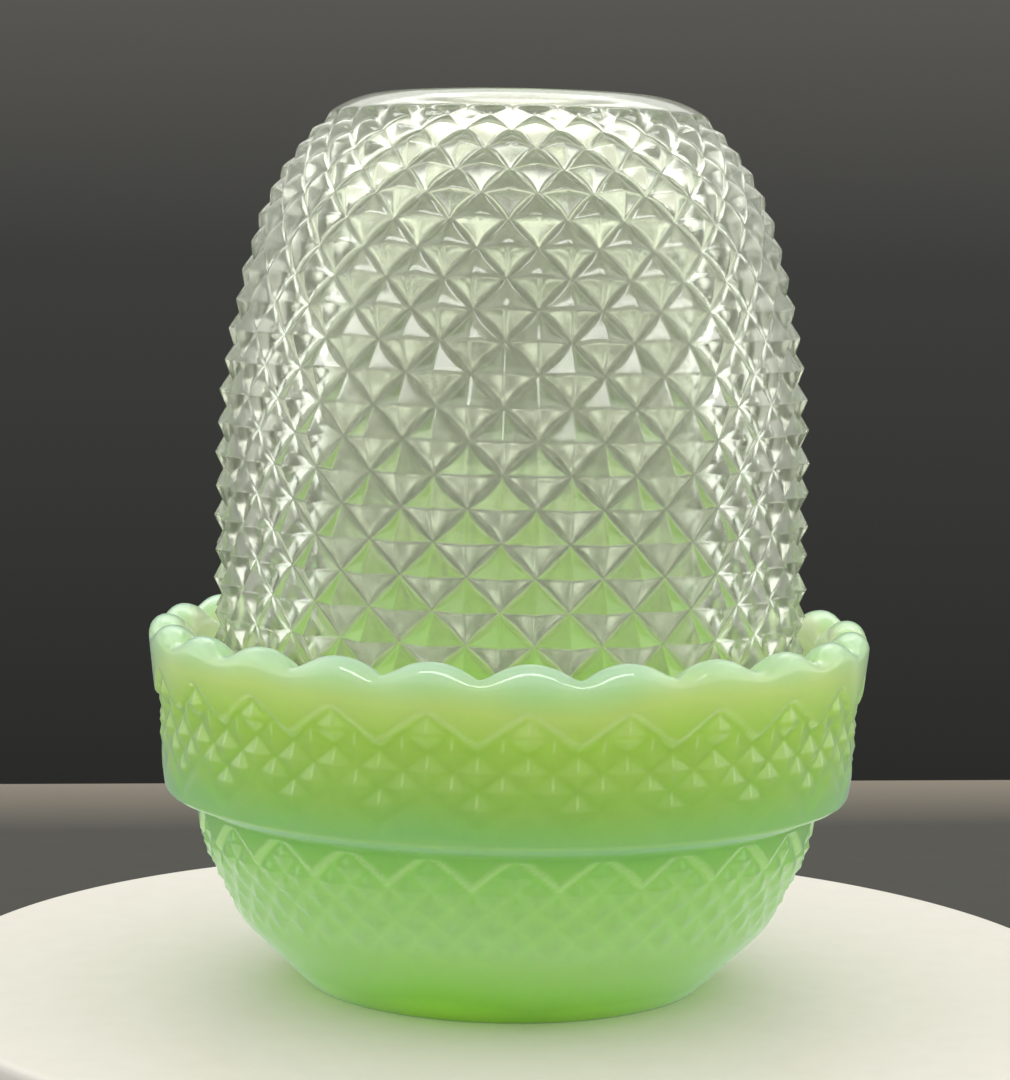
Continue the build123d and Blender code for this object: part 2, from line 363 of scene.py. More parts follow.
def resampled(path, count):
    """The same path as this many evenly spaced points."""
    reach = np.concatenate(([0.0], np.cumsum(np.hypot(*np.diff(path, axis=0).T))))
    even = np.linspace(0.0, reach[-1], count)
    return np.stack([np.interp(even, reach, path[:, axis]) for axis in (0, 1)], -1)


def ring_points(radius, height, angles):
    """Positions at these angles, measured from the front (-Y) towards +X."""
    return np.stack([radius * np.sin(angles), -radius * np.cos(angles), height + 0 * angles], -1)


def mesh_object(name, points, faces, **shares):
    """A closed smooth mesh; shares are numbers from 0 to 1 that its material reads at points."""
    mesh = bpy.data.meshes.new(name)
    mesh.from_pydata((points * MM).tolist(), [], faces)
    mesh.polygons.foreach_set("use_smooth", [True] * len(mesh.polygons))
    for share, values in shares.items():
        attribute = mesh.attributes.new(share, "FLOAT", "POINT")
        attribute.data.foreach_set("value", np.asarray(values, np.float32))
    mesh.update()
    item = bpy.data.objects.new(name, mesh)
    bpy.context.scene.collection.objects.link(item)
    return item


# ------------------------------------------------------------------ dome shade
def at_turn(turn, inset=0.0):
    """Radius and height on the dome's outline where it leans in by this angle."""
    r = DOME_R
    z = SIDE_TOP
    for radius, start, end in ARCS:
        reached = min(max(turn, start), end)
        r -= radius * (cos(start) - cos(reached))
        z += radius * (sin(reached) - sin(start))
    return r - inset * cos(turn), z - inset * sin(turn)


def along_side(distance):
    """Radius, height and lean of the outline this far up from the start of the pattern."""
    left = distance - (SIDE_TOP - PATTERN_BOTTOM)
    if left <= 0:
        return DOME_R, SIDE_TOP + left, 0.0
    for radius, start, end in ARCS:
        if left <= radius * (end - start):
            turn = start + left / radius
            return (*at_turn(turn), turn)
        left -= radius * (end - start)
    return (*at_turn(LEVEL), LEVEL)


def pattern_rows():
    """Distances up the side of the rows of diamond corners, closer as the dome narrows."""
    step_over_radius = DIAMOND_ASPECT * pi / DIAMOND_COLUMNS
    rows = [0.0]
    while True:
        following = rows[-1] + step_over_radius * along_side(rows[-1])[0]
        if along_side(following)[2] > LIP_TURN:
            return rows
        rows.append(following)


def softened(up):
    """How far fire polishing has gone this share of the way up the pattern, from 0 to 1."""
    return smooth_step(up, SOFTENING_STARTS, SOFTENING_ENDS)


def diamond_depth(r, up):
    """Depth of the grooves where the outline has this radius, this share of the way up."""
    return DIAMOND_DEPTH * r / DOME_R * (1 - SOFTENED_DEPTH * softened(up))


def corner_ring(row, distance, up):
    """Corners of the diamonds on one row: points and groove crossings by turns."""
    r, z, turn = along_side(distance)
    depth = diamond_depth(r, up)
    columns = np.arange(2 * DIAMOND_COLUMNS)
    sunk = np.where(((row + columns) % 2 == 0) & (row > 0), 0.0, depth)
    angles = DIAMOND_CLOCKING + columns * pi / DIAMOND_COLUMNS
    return ring_points(r - sunk * cos(turn), z - sunk * sin(turn), angles)


def facet_height(fx, fy, tip_first, ridge, groove):
    """Sharp and rounded height in one square between four corners, 0 in a groove, 1 at a point."""
    x = np.where(tip_first, fx, 1 - fx)
    near = x + fy <= 1
    x = np.where(near, x, 1 - x)
    y = np.where(near, fy, 1 - fy)
    p = 1 - (x + y)
    q = 1 - np.abs(x - y)
    soft_p = np.sqrt(p ** 2 + groove ** 2)
    soft_q = np.sqrt(q ** 2 + groove ** 2)
    return p, np.minimum(smooth_least(soft_p, soft_q, ridge), 1.0)


def diamond_rows():
    """Rings of points over the diamonds, and how each square between rings is split."""
    distances = pattern_rows()
    last = len(distances) - 1
    corners = [corner_ring(row, distance, row / last) for row, distance in enumerate(distances)]
    steps = np.array(CELL_STEPS[:-1])
    columns = np.repeat(np.arange(2 * DIAMOND_COLUMNS), len(steps))
    fx = np.tile(steps, 2 * DIAMOND_COLUMNS)
    beside = (columns + 1) % (2 * DIAMOND_COLUMNS)
    rings = []
    splits = []
    for row in range(last):
        tip_first = (row + columns) % 2 == 0
        low, low_beside = corners[row][columns], corners[row][beside]
        high, high_beside = corners[row + 1][columns], corners[row + 1][beside]
        row_steps = CELL_STEPS if row == last - 1 else CELL_STEPS[:-1]
        for fy in row_steps:
            up = (row + fy) / last
            softening = softened(up)
            ridge = CRISP_RIDGE + (SOFT_RIDGE - CRISP_RIDGE) * softening
            groove = CRISP_GROOVE + (SOFT_GROOVE - CRISP_GROOVE) * softening
            pillow = PILLOW * smooth_step(up, PILLOW_STARTS, PILLOW_ENDS)
            u = fx[:, None]
            # each square is two flat facets that meet along the groove
            rising = np.where(u + fy <= 1,
                              low + u * (low_beside - low) + fy * (high - low),
                              high_beside + (1 - u) * (high - high_beside)
                              + (1 - fy) * (low_beside - high_beside))
            falling = np.where(fy <= u,
                               low_beside + (1 - u) * (low - low_beside)
                               + fy * (high_beside - low_beside),
                               high + u * (high_beside - high) + (1 - fy) * (low - high))
            flat = np.where(tip_first[:, None], rising, falling)
            sharp, soft = facet_height(fx, fy, tip_first, ridge, groove)
            soft = soft + pillow * soft * (1 - soft)
            distance = distances[row] + fy * (distances[row + 1] - distances[row])
            r, _, turn = along_side(distance)
            depth = diamond_depth(r, up)
            if row == 0:
                soft = sharp + (soft - sharp) * fy
            angles = DIAMOND_CLOCKING + (columns + fx) * pi / DIAMOND_COLUMNS
            outward = np.stack([np.sin(angles) * cos(turn), -np.cos(angles) * cos(turn),
                                sin(turn) + 0 * angles], -1)
            rings.append(flat + outward * (depth * (soft - sharp))[:, None])
            splits.append(tip_first)
    return rings, splits[:-1]


def grid_faces(ring_count, columns, splits=None, first_ring=0, around=False):
    """Faces between rings of points; splits says which way the squares of a ring are cut."""
    faces = []
    here = np.arange(columns)
    beside = (here + 1) % columns
    for ring in range(ring_count if around else ring_count - 1):
        a = (first_ring + ring) * columns
        b = (first_ring + (ring + 1) % ring_count) * columns
        low, low_beside, high, high_beside = a + here, a + beside, b + here, b + beside
        cut = splits.get(first_ring + ring) if splits else None
        if cut is None:
            faces += np.stack([low, low_beside, high_beside, high], -1).tolist()
            continue
        one = np.where(cut[:, None], np.stack([low, low_beside, high], -1),
                       np.stack([low, low_beside, high_beside], -1))
        two = np.where(cut[:, None], np.stack([low_beside, high_beside, high], -1),
                       np.stack([low, high_beside, high], -1))
        faces += one.tolist() + two.tolist()
    return faces


def make_dome():
    """One closed skin: band, diamonds, lip, vent, and the smooth inside."""
    steps = np.array(CELL_STEPS[:-1])
    columns = 2 * DIAMOND_COLUMNS * len(steps)
    angles = DIAMOND_CLOCKING + (np.repeat(np.arange(2 * DIAMOND_COLUMNS), len(steps))
                                 + np.tile(steps, 2 * DIAMOND_COLUMNS)) * pi / DIAMOND_COLUMNS
    band_r = DOME_R - BAND_INSET
    groove_r = DOME_R - DIAMOND_DEPTH
    band = resampled(rounded_path([
        (BORE_R + EDGE_ROUNDING + WIDE_RUN_GAP, SEAT_HEIGHT, 0),
        (band_r, SEAT_HEIGHT, EDGE_ROUNDING),
        (band_r, PATTERN_BOTTOM - BAND_TOP_DROP, BAND_TOP_ROUNDING),
        (groove_r + WIDE_RUN_GAP, PATTERN_BOTTOM - RUN_GAP, 0),
    ]), BAND_POINTS)
    diamonds, splits = diamond_rows()
    turns = np.linspace(along_side(pattern_rows()[-1])[2] + LIP_GAP, LEVEL, LIP_POINTS)
    lip = np.array([at_turn(turn) for turn in turns])
    inset = DOME_R - BORE_R
    roof = DOME_TOP - inset
    vent = resampled(rounded_path([
        (at_turn(LEVEL)[0] - RUN_GAP, DOME_TOP, 0),
        (VENT_R, DOME_TOP, LIP_ROUNDING),
        (VENT_R, roof, LIP_ROUNDING),
        (at_turn(LEVEL)[0] + WIDE_RUN_GAP, roof, 0),
    ]), VENT_POINTS)
    leans = np.linspace(LEVEL, 0, INSIDE_POINTS)[1:]
    inside = np.array([at_turn(turn, inset) for turn in leans])
    wall = resampled(rounded_path([
        (BORE_R, SIDE_TOP - WALL_START_DROP, 0),
        (BORE_R, SEAT_HEIGHT, EDGE_ROUNDING),
        (BORE_R + EDGE_ROUNDING + RUN_GAP, SEAT_HEIGHT, 0),
    ]), WALL_POINTS)
    rings = [ring_points(r, z, angles) for r, z in band]
    first_diamond = len(rings)
    rings += diamonds
    rings += [ring_points(r, z, angles) for path in (lip, vent, inside, wall) for r, z in path]
    cuts = {first_diamond + index: cut for index, cut in enumerate(splits)}
    faces = grid_faces(len(rings), columns, cuts, around=True)
    return mesh_object("dome_shade", np.concatenate(rings), faces)


# ------------------------------------------------------------------ base bowl
def height_to_reach(path, heights):
    """How far along the rising part of a path each height is."""
    reach = np.concatenate(([0.0], np.cumsum(np.hypot(*np.diff(path, axis=0).T))))
    rising = np.argmax(path[:, 1] > FOOT_CLEAR)
    return np.interp(heights, path[rising:, 1], reach[rising:])


def lattice_levels(nodes):
    """Heights of the rings over a lattice, from its node heights, finer beside the nodes."""
    nodes = np.array(nodes)
    levels = [nodes[row] + step * (nodes[row + 1] - nodes[row])
              for row in range(len(nodes) - 1) for step in LATTICE_STEPS[:-1]]
    return np.array(levels + [nodes[-1]])


def groove_distance(value):
    """Distance to the nearest groove of one family: 0 in it, 1 half way to the next."""
    half = value / 2
    return 2 * np.abs(half - np.round(half))


def lattice_height(x, y, ridge, groove):
    """Rounded height of the small diamonds, 0 in a groove and 1 at a point."""
    one = np.sqrt(groove_distance(x + y) ** 2 + groove ** 2)
    other = np.sqrt(groove_distance(x - y) ** 2 + groove ** 2)
    return np.minimum(smooth_least(one, other, ridge), 1.0)


def zigzag(x, softness):
    """A zigzag that is 0 every fourth half diamond and 2 half way between."""
    fold = np.abs((x + 2) % 4 - 2)
    return np.sqrt(fold ** 2 + softness ** 2) - softness


def on_upper_ridge(x, y):
    """1 along the upright ridge over each point of the lattice, fading out where the ridge ends; a
    highlight is painted there.
    """
    beside = np.abs(x - np.round(x))
    over_point = (np.round(x) + 1 - y) % 2.0
    reach = smooth_step(over_point, *DASH_SETS_IN)
    reach = reach * (1 - smooth_step(over_point, *DASH_DIES_OUT))
    return (beside < DASH_HALF_WIDTH) * reach


def collar_sink(x, z):
    """Depth of the collar's pattern, share of the band above it, and its pale lines: painted
    highlights along the band's edge and up the ridges.
    """
    y = np.interp(-z, [-height for height in COLLAR_NODES], range(len(COLLAR_NODES)))
    y -= max(z - COLLAR_NODES[0], 0.0) / (COLLAR_NODES[0] - COLLAR_NODES[1])
    cells = lattice_height(x, y, COLLAR_RIDGE, COLLAR_GROOVE)
    above = zigzag(x, COLLAR_ZIGZAG) - y
    below = y - (COLLAR_LAST_GROOVE + zigzag(x, LAST_ZIGZAG))
    flank = np.sqrt(np.clip(below, 0, 1) ** 2 + COLLAR_GROOVE ** 2)
    height = np.where(below > 0, np.minimum(flank, 1.0), cells)
    fade = 1 - COLLAR_FADE * smooth_step(below, -COLLAR_FADE_OVER, 0.0)
    recess = COLLAR_DEPTH * (1 - height) * fade
    proud = smooth_step(above, 0.0, TOP_EDGE_WIDTH)
    # painted highlight along the edge where the plain band meets the pattern
    edge = COLLAR_EDGE_HIGHLIGHT * np.exp(-((above - EDGE_HIGHLIGHT_MIDDLE) / EDGE_HIGHLIGHT_WIDTH) ** 2)
    # painted highlight up the upper ridge of each point
    painted_ridge_highlight = RIDGE_HIGHLIGHT_STRENGTH * on_upper_ridge(x, y) * (above < 0) * (below < 0)
    return recess * (1 - proud), proud, np.maximum(edge, painted_ridge_highlight)


def bowl_sink(x, z):
    """Depth of the lower bowl's pattern, and its pale lines: painted highlights along the zigzags,
    and paler grooves, partly thinner glass and partly painted highlight.
    """
    y = np.interp(-z, [-height for height in BOWL_NODES], range(len(BOWL_NODES)))
    cells = lattice_height(x, y, BOWL_RIDGE, BOWL_GROOVE)
    above = zigzag(x, BOWL_ZIGZAG) - y
    fade = 1 - smooth_step(y, BOWL_FADE_STARTS, BOWL_FADE_ENDS)
    # painted highlight along the zigzags
    edge = BOWL_EDGE_HIGHLIGHT * np.exp(-((above - EDGE_HIGHLIGHT_MIDDLE) / EDGE_HIGHLIGHT_WIDTH) ** 2)
    # paler grooves: partly thinner glass, partly painted highlight
    groove_thin_glass_and_highlight = GROOVE_THIN_GLASS_AND_HIGHLIGHT * (1 - cells) ** 2 * fade * (above < 0)
    depth = BOWL_DEPTH * (1 - cells) * fade * (1 - smooth_step(above, 0.0, TOP_EDGE_WIDTH))
    return depth, np.maximum(edge, groove_thin_glass_and_highlight)


def scallop(angles, softness):
    """0 on the crest of a scallop and 1 in the notch beside it."""
    pitch = FULL_TURN / SCALLOPS
    across = np.abs(((angles - SCALLOP_CLOCKING) / pitch + 0.5) % 1.0 - 0.5) * 2
    rise = np.sqrt((1 - across) ** 2 + softness ** 2) - softness
    fold = 1 - rise / (sqrt(1 + softness ** 2) - softness)
    return fold ** 2


def outer_profile():
    """Outside of the base from the middle of its foot to the top of its band."""
    return rounded_path([
        (0.0, FOOT_HOLLOW, 0),
        (FOOT_R - FOOT_RING, FOOT_HOLLOW, FOOT_INNER_ROUNDING),
        (FOOT_R - FOOT_RING, 0.0, FOOT_INNER_ROUNDING),
        (FOOT_R, 0.0, FOOT_OUTER_ROUNDING),
        BELLY,
        BOWL_SIDE,
        BOWL_TOP,
        COLLAR_CORNER,
        COLLAR_LOWER_SIDE,
        COLLAR_UPPER_SIDE,
        COLLAR_TOP,
        BAND_BOTTOM,
        BAND_TOP,
        (RIM_R, RIM_TURN, 0),
    ], ARC_STEPS)


def make_base():
    """One closed skin: foot, patterned bowl and collar, scalloped rim, ledge and well."""
    steps = np.array(LATTICE_STEPS[:-1])
    halves = np.arange(LATTICE_HALVES)
    x = np.repeat(halves, len(steps)) + np.tile(steps, LATTICE_HALVES)
    angles = LATTICE_CLOCKING + x * FULL_TURN / LATTICE_HALVES
    path = outer_profile()
    reach = np.concatenate(([0.0], np.cumsum(np.hypot(*np.diff(path, axis=0).T))))
    bowl_levels = lattice_levels(BOWL_NODES[::-1])
    collar_levels = lattice_levels(COLLAR_NODES[::-1])
    foot_end = height_to_reach(path, [BOWL_NODES[-1]])[0]
    seam = np.linspace(BOWL_NODES[0], COLLAR_NODES[-1], PLAIN_STOPS)[1:-1]
    band = np.linspace(COLLAR_NODES[0], RIM_TURN, PLAIN_STOPS)[1:]
    stops = np.concatenate([
        UNDERSIDE_STOPS,
        np.linspace(FOOT_STOPS_START, foot_end, FOOT_STOPS)[:-1],
        height_to_reach(path, np.concatenate([bowl_levels, seam, collar_levels, band])),
    ])
    rings = []
    # pale lines of each ring: painted highlights, and paler grooves that are partly thinner glass
    lines = []
    for stop in stops:
        r, z = (np.interp(stop, reach, path[:, axis]) for axis in (0, 1))
        before = [np.interp(stop - SLOPE_REACH, reach, path[:, axis]) for axis in (0, 1)]
        after = [np.interp(stop + SLOPE_REACH, reach, path[:, axis]) for axis in (0, 1)]
        run, rise = after[0] - before[0], after[1] - before[1]
        length = hypot(run, rise) or 1.0
        sink = 0 * x
        line = 0 * x
        if z > COLLAR_NODES[-1]:
            sink, proud, line = collar_sink(x, z)
            band_rise = (z - COLLAR_NODES[0]) / (BAND_TOP[1] - COLLAR_NODES[0])
            band_r = BAND_R + (RIM_R - BAND_R) * band_rise
            sink = sink - proud * max(band_r - r, 0.0)
        elif BOWL_NODES[-1] < z <= BOWL_NODES[0] and r > FOOT_R:
            sink, line = bowl_sink(x, z)
        if r > FOOT_R:
            sink = sink - SEAM_RISE * np.exp(-((z - SEAM_HEIGHT) / SEAM_WIDTH) ** 2)
        turn = BOWL_TURN * (1 - smooth_step(z, BOWL_NODES[0], COLLAR_NODES[-1]))
        rings.append(ring_points(r - sink * rise / length, z + sink * run / length, angles + turn))
        lines.append(line)
    outside_count = len(rings)
    outer, turned_in = RIM_OUTER_ROUNDING, RIM_INNER_ROUNDING
    inner = [(RIM_R - outer + outer * cos(turn), BASE_HEIGHT - outer + outer * sin(turn))
             for turn in np.linspace(0, LEVEL, RIM_OUTER_STEPS)[1:]]
    inner += [(RIM_CREST_R - turned_in * sin(turn),
               BASE_HEIGHT - turned_in + turned_in * cos(turn))
              for turn in np.linspace(0, LEVEL, RIM_INNER_STEPS)[1:]]
    inside = rounded_path([
        (RIM_CREST_R - turned_in, BASE_HEIGHT - turned_in - WIDE_RUN_GAP, 0),
        (LEDGE_R, SEAT_HEIGHT, LEDGE_ROUNDING),
        (WELL_R, SEAT_HEIGHT, LEDGE_ROUNDING),
        (FLOOR_R, FLOOR_HEIGHT, WELL_ROUNDING),
        (INNERMOST_R, FLOOR_HEIGHT, 0),
    ])
    inner += [tuple(point) for point in resampled(inside, INSIDE_STOPS)]
    rings += [ring_points(r, z, angles) for r, z in inner]
    points = np.stack(rings)
    carve_scallops(points, angles)
    count = len(rings)
    columns = len(x)
    faces = grid_faces(count, columns)[columns:]
    here = np.arange(columns)
    beside = (here + 1) % columns
    flat = points[1:].reshape(-1, 3)
    last = (count - 2) * columns
    faces = (np.array(faces) - columns).tolist()
    foot, floor = len(flat), len(flat) + 1
    flat = np.concatenate([flat, [[0, 0, FOOT_HOLLOW], [0, 0, FLOOR_HEIGHT]]])
    faces += np.stack([np.full(columns, foot), beside, here], -1).tolist()
    faces += np.stack([last + here, last + beside, np.full(columns, floor)], -1).tolist()
    rings_in = np.arange(1, count) - outside_count
    # painted light: the ledge and well brighter, and the inner wall above them paler, ring by ring
    inside_painted_light_share = smooth_step(rings_in, *LEDGE_RINGS)
    wall_painted_light_share = smooth_step(rings_in, *WALL_RINGS) * (1 - inside_painted_light_share)
    # pale lines on the outside's rings: painted highlights, and in the grooves partly thinner glass
    line_share = np.zeros(len(flat))
    line_share[:(outside_count - 1) * columns] = np.concatenate(lines[1:])
    return mesh_object("green_bowl", flat, faces, line=line_share,
                       wall=np.concatenate([np.repeat(wall_painted_light_share, columns), [0.0, 0.0]]),
                       inside=np.concatenate([np.repeat(inside_painted_light_share, columns), [0.0, 1.0]]))


def carve_scallops(points, angles):
    """Lowers the rim between the crests; the grooves run in over it and die out."""
    r = np.hypot(points[..., 0], points[..., 1])
    z = points[..., 2]
    outside = smooth_step(z, BASE_HEIGHT - SCALLOP_REACH_DOWN, BASE_HEIGHT - SCALLOP_FULL_DROP)
    outside = outside * (r > RIM_CREST_R)
    inward = smooth_step(r, SCALLOP_INNER_R, SCALLOP_FULL_R) * (r <= RIM_CREST_R)
    inward *= (z > BASE_HEIGHT - SCALLOP_REACH_IN)
    outer = smooth_step(r, *OUTER_EDGE)
    share = scallop(angles, NOTCH_SOFTNESS) * (1 - outer)
    share = share + OUTER_DEPTH * scallop(angles, OUTER_SOFTNESS) * outer
    fall = SCALLOP_DEPTH * share * (outside + inward)
    points[..., 2] -= fall
    scoop = outside * smooth_step(z, BASE_HEIGHT - SCOOP_LOW, BASE_HEIGHT - SCOOP_HIGH)
    narrower = 1 - SCALLOP_SCOOP * share * scoop / RIM_R
    points[..., 0] *= narrower
    points[..., 1] *= narrower


# ------------------------------------------------------------------ materials
def node_material(name):
    """A new material with its nodes, its links and its one surface shader."""
    material = bpy.data.materials.new(name)
    material.use_nodes = True
    nodes = material.node_tree.nodes
    nodes.clear()
    output = nodes.new("ShaderNodeOutputMaterial")
    shader = nodes.new("ShaderNodeBsdfPrincipled")
    material.node_tree.links.new(shader.outputs["BSDF"], output.inputs["Surface"])
    return material, nodes, material.node_tree.links, shader


def noise(nodes, links, place, scale, detail=3.0):
    """A cloudy value between 0 and 1 at a place."""
    texture = nodes.new("ShaderNodeTexNoise")
    texture.inputs["Scale"].default_value = scale
    texture.inputs["Detail"].default_value = detail
    texture.inputs["Roughness"].default_value = 0.5
    links.new(place, texture.inputs["Vector"])
    return texture.outputs["Fac"]


def ramp(nodes, links, fac, stops):
    """The colour that a value has between these stops."""
    item = nodes.new("ShaderNodeValToRGB")
    elements = item.color_ramp.elements
    while len(elements) < len(stops):
        elements.new(0.5)
    for element, (position, colour) in zip(elements, stops):
        element.position = position
        element.color = (*colour, 1.0)
    links.new(fac, item.inputs["Fac"])
    return item.outputs["Color"]


def mapped(nodes, links, value, from_low, from_high, to_low, to_high):
    """A value moved from one span to another, and held at its ends."""
    item = nodes.new("ShaderNodeMapRange")
    links.new(value, item.inputs["Value"])
    for socket, number in (("From Min", from_low), ("From Max", from_high),
                           ("To Min", to_low), ("To Max", to_high)):
        item.inputs[socket].default_value = number
    return item.outputs["Result"]


def mixed(nodes, links, fac, one, other, blend="MIX"):
    """Two colours mixed; each may be a colour or what another node gives."""
    item = nodes.new("ShaderNodeMix")
    item.data_type = "RGBA"
    item.blend_type = blend
    for socket, value in ((item.inputs[0], fac), (item.inputs[6], one), (item.inputs[7], other)):
        if isinstance(value, bpy.types.NodeSocket):
            links.new(value, socket)
        elif isinstance(value, tuple):
            socket.default_value = (*value, 1.0)
        else:
            socket.default_value = value
    return item.outputs[2]


def bumped(nodes, links, height, strength, distance):
    """The surface's normal, disturbed as if it had this height."""
    item = nodes.new("ShaderNodeBump")
    item.inputs["Strength"].default_value = strength
    item.inputs["Distance"].default_value = distance
    links.new(height, item.inputs["Height"])
    return item.outputs["Normal"]


def mesh_share(nodes, name):
    """The share of this name that the mesh carries at each point."""
    item = nodes.new("ShaderNodeAttribute")
    item.attribute_name = name
    return item.outputs["Fac"]


def clear_glass():
    """Clear pressed glass with a slow ripple and a fine grain."""
    material, nodes, links, shader = node_material("clear_glass")
    place = nodes.new("ShaderNodeTexCoord").outputs["Object"]
    ripple = noise(nodes, links, place, RIPPLE_SCALE)
    grain = noise(nodes, links, place, GRAIN_SCALE)
    tint = mixed(nodes, links, ripple, CLEAR_TINT, CLEAR_TINT_THICK)
    links.new(tint, shader.inputs["Base Color"])
    roughness = mapped(nodes, links, grain, *GRAIN_SPAN, *CLEAR_ROUGHNESS)
    links.new(roughness, shader.inputs["Roughness"])
    links.new(bumped(nodes, links, ripple, *RIPPLE_BUMP), shader.inputs["Normal"])
    shader.inputs["IOR"].default_value = GLASS_IOR
    shader.inputs["Transmission Weight"].default_value = CLEAR_TRANSMISSION
    return material


def green_glass():
    """Opalescent glass whose green changes with height, clouded, with pale lines of painted
    highlight (in the grooves partly thinner glass), and with painted light on the inner wall, the
    ledge and the well.
    """
    material, nodes, links, shader = node_material("green_glass")
    place = nodes.new("ShaderNodeTexCoord").outputs["Object"]
    split = nodes.new("ShaderNodeSeparateXYZ")
    links.new(place, split.inputs["Vector"])
    cloud = noise(nodes, links, place, CLOUD_SCALE, SOFT_DETAIL)
    drift = mapped(nodes, links, cloud, *CLOUD_SPAN, -CLOUD_DRIFT, CLOUD_DRIFT)
    level = mapped(nodes, links, split.outputs["Z"], 0.0, BASE_HEIGHT * MM, 0.0, 1.0)
    shifted = nodes.new("ShaderNodeMath")
    shifted.operation = "ADD"
    links.new(level, shifted.inputs[0])
    links.new(drift, shifted.inputs[1])
    body = ramp(nodes, links, shifted.outputs[0], GREEN_BY_HEIGHT)
    swirl = noise(nodes, links, place, SWIRL_SCALE, SOFT_DETAIL)
    patch = mapped(nodes, links, swirl, *SWIRL_SPAN, 0.0, WARM_PATCH_SHARE)
    colour = mixed(nodes, links, patch, body, GREEN_WARM, "MULTIPLY")
    # pale lines: painted highlights along the zigzag edges and up the ridges, and paler grooves
    # that are partly thinner glass
    line = mesh_share(nodes, "line")
    thin_glass_and_highlight_mix = mapped(nodes, links, line, 0.0, 1.0, 0.0, THIN_GLASS_AND_HIGHLIGHT_SHARE)
    colour = mixed(nodes, links, thin_glass_and_highlight_mix, colour, GREEN_THIN_GLASS_AND_HIGHLIGHT)
    # inner wall painted paler: painted light standing in for light that comes through the rim
    colour = mixed(nodes, links, mesh_share(nodes, "wall"), colour, GREEN_WALL_PAINTED_LIGHT)
    # ledge and well painted brighter: painted light standing in for light that reaches them through
    # the glass
    colour = mixed(nodes, links, mesh_share(nodes, "inside"), colour, GREEN_INSIDE_PAINTED_LIGHT)
    links.new(colour, shader.inputs["Base Color"])
    fine = noise(nodes, links, place, FINE_SCALE)
    roughness = mapped(nodes, links, fine, *FINE_SPAN, *GREEN_ROUGHNESS)
    links.new(roughness, shader.inputs["Roughness"])
    links.new(bumped(nodes, links, cloud, *CLOUD_BUMP), shader.inputs["Normal"])
    shader.inputs["IOR"].default_value = GLASS_IOR
    shader.inputs["Subsurface Weight"].default_value = GREEN_SUBSURFACE
    shader.inputs["Subsurface Radius"].default_value = GREEN_SUBSURFACE_RADIUS
    shader.inputs["Subsurface Scale"].default_value = GREEN_SUBSURFACE_SCALE
    shader.inputs["Sheen Weight"].default_value = GREEN_SHEEN
    shader.inputs["Sheen Roughness"].default_value = GREEN_SHEEN_ROUGHNESS
    shader.inputs["Sheen Tint"].default_value = GREEN_SHEEN_TINT
    return material


def pale_surface(name, low, high, roughness):
    """A plain surface, faintly speckled between two colours."""
    material, nodes, links, shader = node_material(name)
    place = nodes.new("ShaderNodeTexCoord").outputs["Object"]
    speckle = noise(nodes, links, place, SPECKLE_SCALE)
    links.new(mixed(nodes, links, speckle, low, high), shader.inputs["Base Color"])
    shader.inputs["Roughness"].default_value = roughness
    links.new(bumped(nodes, links, speckle, *SPECKLE_BUMP), shader.inputs["Normal"])
    return material


def grey_table():
    """A dull grey top that turns lighter and browner along its far edge."""
    material, nodes, links, shader = node_material("table_grey")
    place = nodes.new("ShaderNodeTexCoord").outputs["Object"]
    split = nodes.new("ShaderNodeSeparateXYZ")
    links.new(place, split.inputs["Vector"])
    speckle = noise(nodes, links, place, TABLE_SCALE)
    edge_start = TABLE_FAR_EDGE - TABLE_EDGE_BAND
    edge = mapped(nodes, links, split.outputs["Y"], edge_start, TABLE_FAR_EDGE, 0.0, 1.0)
    plain = mixed(nodes, links, speckle, TABLE_GREY, TABLE_GREY_LIGHT)
    links.new(mixed(nodes, links, edge, plain, TABLE_EDGE_BROWN), shader.inputs["Base Color"])
    shader.inputs["Roughness"].default_value = TABLE_ROUGHNESS
    shader.inputs["Specular IOR Level"].default_value = TABLE_SPECULAR
    links.new(bumped(nodes, links, speckle, *SPECKLE_BUMP), shader.inputs["Normal"])
    return material


# ------------------------------------------------------------------ stage
def flat_disc(name, radius, thickness, centre):
    """A turntable top with a rounded edge, its upper face at height 0."""
    angles = np.linspace(0, FULL_TURN, DISC_SIDES + 1)[:-1]
    profile = [(radius - inset, -drop) for inset, drop in DISC_EDGE] + [(radius, -thickness)]
    rings = [ring_points(r, z, angles) for r, z in profile]
    points = np.concatenate(rings + [[[0, 0, 0]], [[0, 0, -thickness]]])
    points[:, :2] += centre
    count = len(angles)
    faces = []
    for ring in range(len(profile) - 1):
        for here in range(count):
            beside = (here + 1) % count
            faces.append((ring * count + beside, ring * count + here,
                          (ring + 1) * count + here, (ring + 1) * count + beside))
    last = (len(profile) - 1) * count
    middle = len(points) - 2
    faces += [(middle, here, (here + 1) % count) for here in range(count)]
    faces += [(middle + 1, last + (here + 1) % count, last + here) for here in range(count)]
    return mesh_object(name, points, faces)


def slab(name, low, high):
    """A closed block between two corners, in millimetres."""
    corners = [(x, y, z) for z in (low[2], high[2])
               for y in (low[1], high[1]) for x in (low[0], high[0])]
    faces = [(0, 2, 3, 1), (4, 5, 7, 6), (0, 1, 5, 4), (2, 6, 7, 3), (0, 4, 6, 2), (1, 3, 7, 5)]
    item = mesh_object(name, np.array(corners, float), faces)
    item.data.polygons.foreach_set("use_smooth", [False] * len(faces))
    return item


